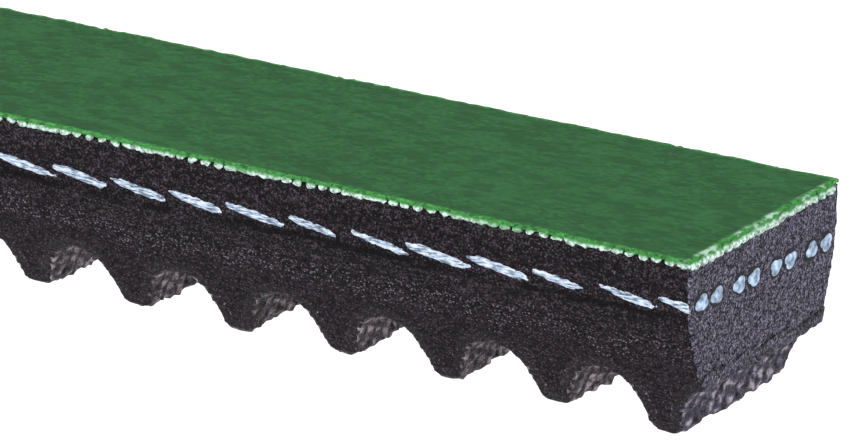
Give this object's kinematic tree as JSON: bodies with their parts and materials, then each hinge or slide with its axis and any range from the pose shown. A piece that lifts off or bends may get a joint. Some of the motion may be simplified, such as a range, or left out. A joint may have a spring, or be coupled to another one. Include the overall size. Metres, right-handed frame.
{
  "type": "v belt",
  "caption": "Cut length of raw-edge cogged V-belt: green rubbered fabric back, black rubber, paired tensile cords and a knitted fabric over the cogs; it bends at each valley.",
  "frame": {"origin": "under the middle of the cut length, on the plane that the cog tips stand on", "axes": "+X along the belt, towards the cut end that the picture shows; +Y across the belt; +Z from the cogs up to the green back"},
  "size_m": [0.0654, 0.017, 0.0113],
  "materials": {
    "cover_fabric": "woven fabric under a matt green rubber coat",
    "overcord_rubber": "ground, matt, finely grained",
    "cushion_rubber": "ground, matt, finely grained",
    "tensile_cord": "cut ends and sliced sides of twisted cord",
    "undercord_rubber": "fibre-filled, matt",
    "cog_fabric": "coarse knit soaked with black rubber"
  },
  "bodies": {
    "cog_1": {"cover_1": "cover_fabric", "overcord_1": "overcord_rubber", "cushion_1": "cushion_rubber", "cords_1": "tensile_cord", "undercord_1": "undercord_rubber", "cog_fabric_1": "cog_fabric"},
    "cog_2": {"cover_2": "cover_fabric", "overcord_2": "overcord_rubber", "cushion_2": "cushion_rubber", "cords_2": "tensile_cord", "undercord_2": "undercord_rubber", "cog_fabric_2": "cog_fabric"},
    "cog_3": {"cover_3": "cover_fabric", "overcord_3": "overcord_rubber", "cushion_3": "cushion_rubber", "cords_3": "tensile_cord", "undercord_3": "undercord_rubber", "cog_fabric_3": "cog_fabric"},
    "cog_4": {"cover_4": "cover_fabric", "overcord_4": "overcord_rubber", "cushion_4": "cushion_rubber", "cords_4": "tensile_cord", "undercord_4": "undercord_rubber", "cog_fabric_4": "cog_fabric"},
    "cog_5": {"cover_5": "cover_fabric", "overcord_5": "overcord_rubber", "cushion_5": "cushion_rubber", "cords_5": "tensile_cord", "undercord_5": "undercord_rubber", "cog_fabric_5": "cog_fabric"},
    "cog_6": {"cover_6": "cover_fabric", "overcord_6": "overcord_rubber", "cushion_6": "cushion_rubber", "cords_6": "tensile_cord", "undercord_6": "undercord_rubber", "cog_fabric_6": "cog_fabric"},
    "cog_7": {"cover_7": "cover_fabric", "overcord_7": "overcord_rubber", "cushion_7": "cushion_rubber", "cords_7": "tensile_cord", "undercord_7": "undercord_rubber", "cog_fabric_7": "cog_fabric"},
    "cog_8": {"cover_8": "cover_fabric", "overcord_8": "overcord_rubber", "cushion_8": "cushion_rubber", "cords_8": "tensile_cord", "undercord_8": "undercord_rubber", "cog_fabric_8": "cog_fabric"},
    "cog_9": {"cover_9": "cover_fabric", "overcord_9": "overcord_rubber", "cushion_9": "cushion_rubber", "cords_9": "tensile_cord", "undercord_9": "undercord_rubber", "cog_fabric_9": "cog_fabric"}
  },
  "joints": [
    {"name": "bend_1", "type": "hinge", "parent": "cog_2", "child": "cog_1", "pos_m": [0.02597, 0, 0.0082], "axis": [0, 1, 0], "range_deg": [-6, 10], "stiffness_Nm_per_rad": 0.4},
    {"name": "bend_2", "type": "hinge", "parent": "cog_3", "child": "cog_2", "pos_m": [0.01855, 0, 0.0082], "axis": [0, 1, 0], "range_deg": [-6, 10], "stiffness_Nm_per_rad": 0.4},
    {"name": "bend_3", "type": "hinge", "parent": "cog_4", "child": "cog_3", "pos_m": [0.01113, 0, 0.0082], "axis": [0, 1, 0], "range_deg": [-6, 10], "stiffness_Nm_per_rad": 0.4},
    {"name": "bend_4", "type": "hinge", "parent": "cog_5", "child": "cog_4", "pos_m": [0.00371, 0, 0.0082], "axis": [0, 1, 0], "range_deg": [-6, 10], "stiffness_Nm_per_rad": 0.4},
    {"name": "bend_5", "type": "hinge", "parent": "cog_5", "child": "cog_6", "pos_m": [-0.00371, 0, 0.0082], "axis": [0, -1, 0], "range_deg": [-6, 10], "stiffness_Nm_per_rad": 0.4},
    {"name": "bend_6", "type": "hinge", "parent": "cog_6", "child": "cog_7", "pos_m": [-0.01113, 0, 0.0082], "axis": [0, -1, 0], "range_deg": [-6, 10], "stiffness_Nm_per_rad": 0.4},
    {"name": "bend_7", "type": "hinge", "parent": "cog_7", "child": "cog_8", "pos_m": [-0.01855, 0, 0.0082], "axis": [0, -1, 0], "range_deg": [-6, 10], "stiffness_Nm_per_rad": 0.4},
    {"name": "bend_8", "type": "hinge", "parent": "cog_8", "child": "cog_9", "pos_m": [-0.02597, 0, 0.0082], "axis": [0, -1, 0], "range_deg": [-6, 10], "stiffness_Nm_per_rad": 0.4}
  ]
}
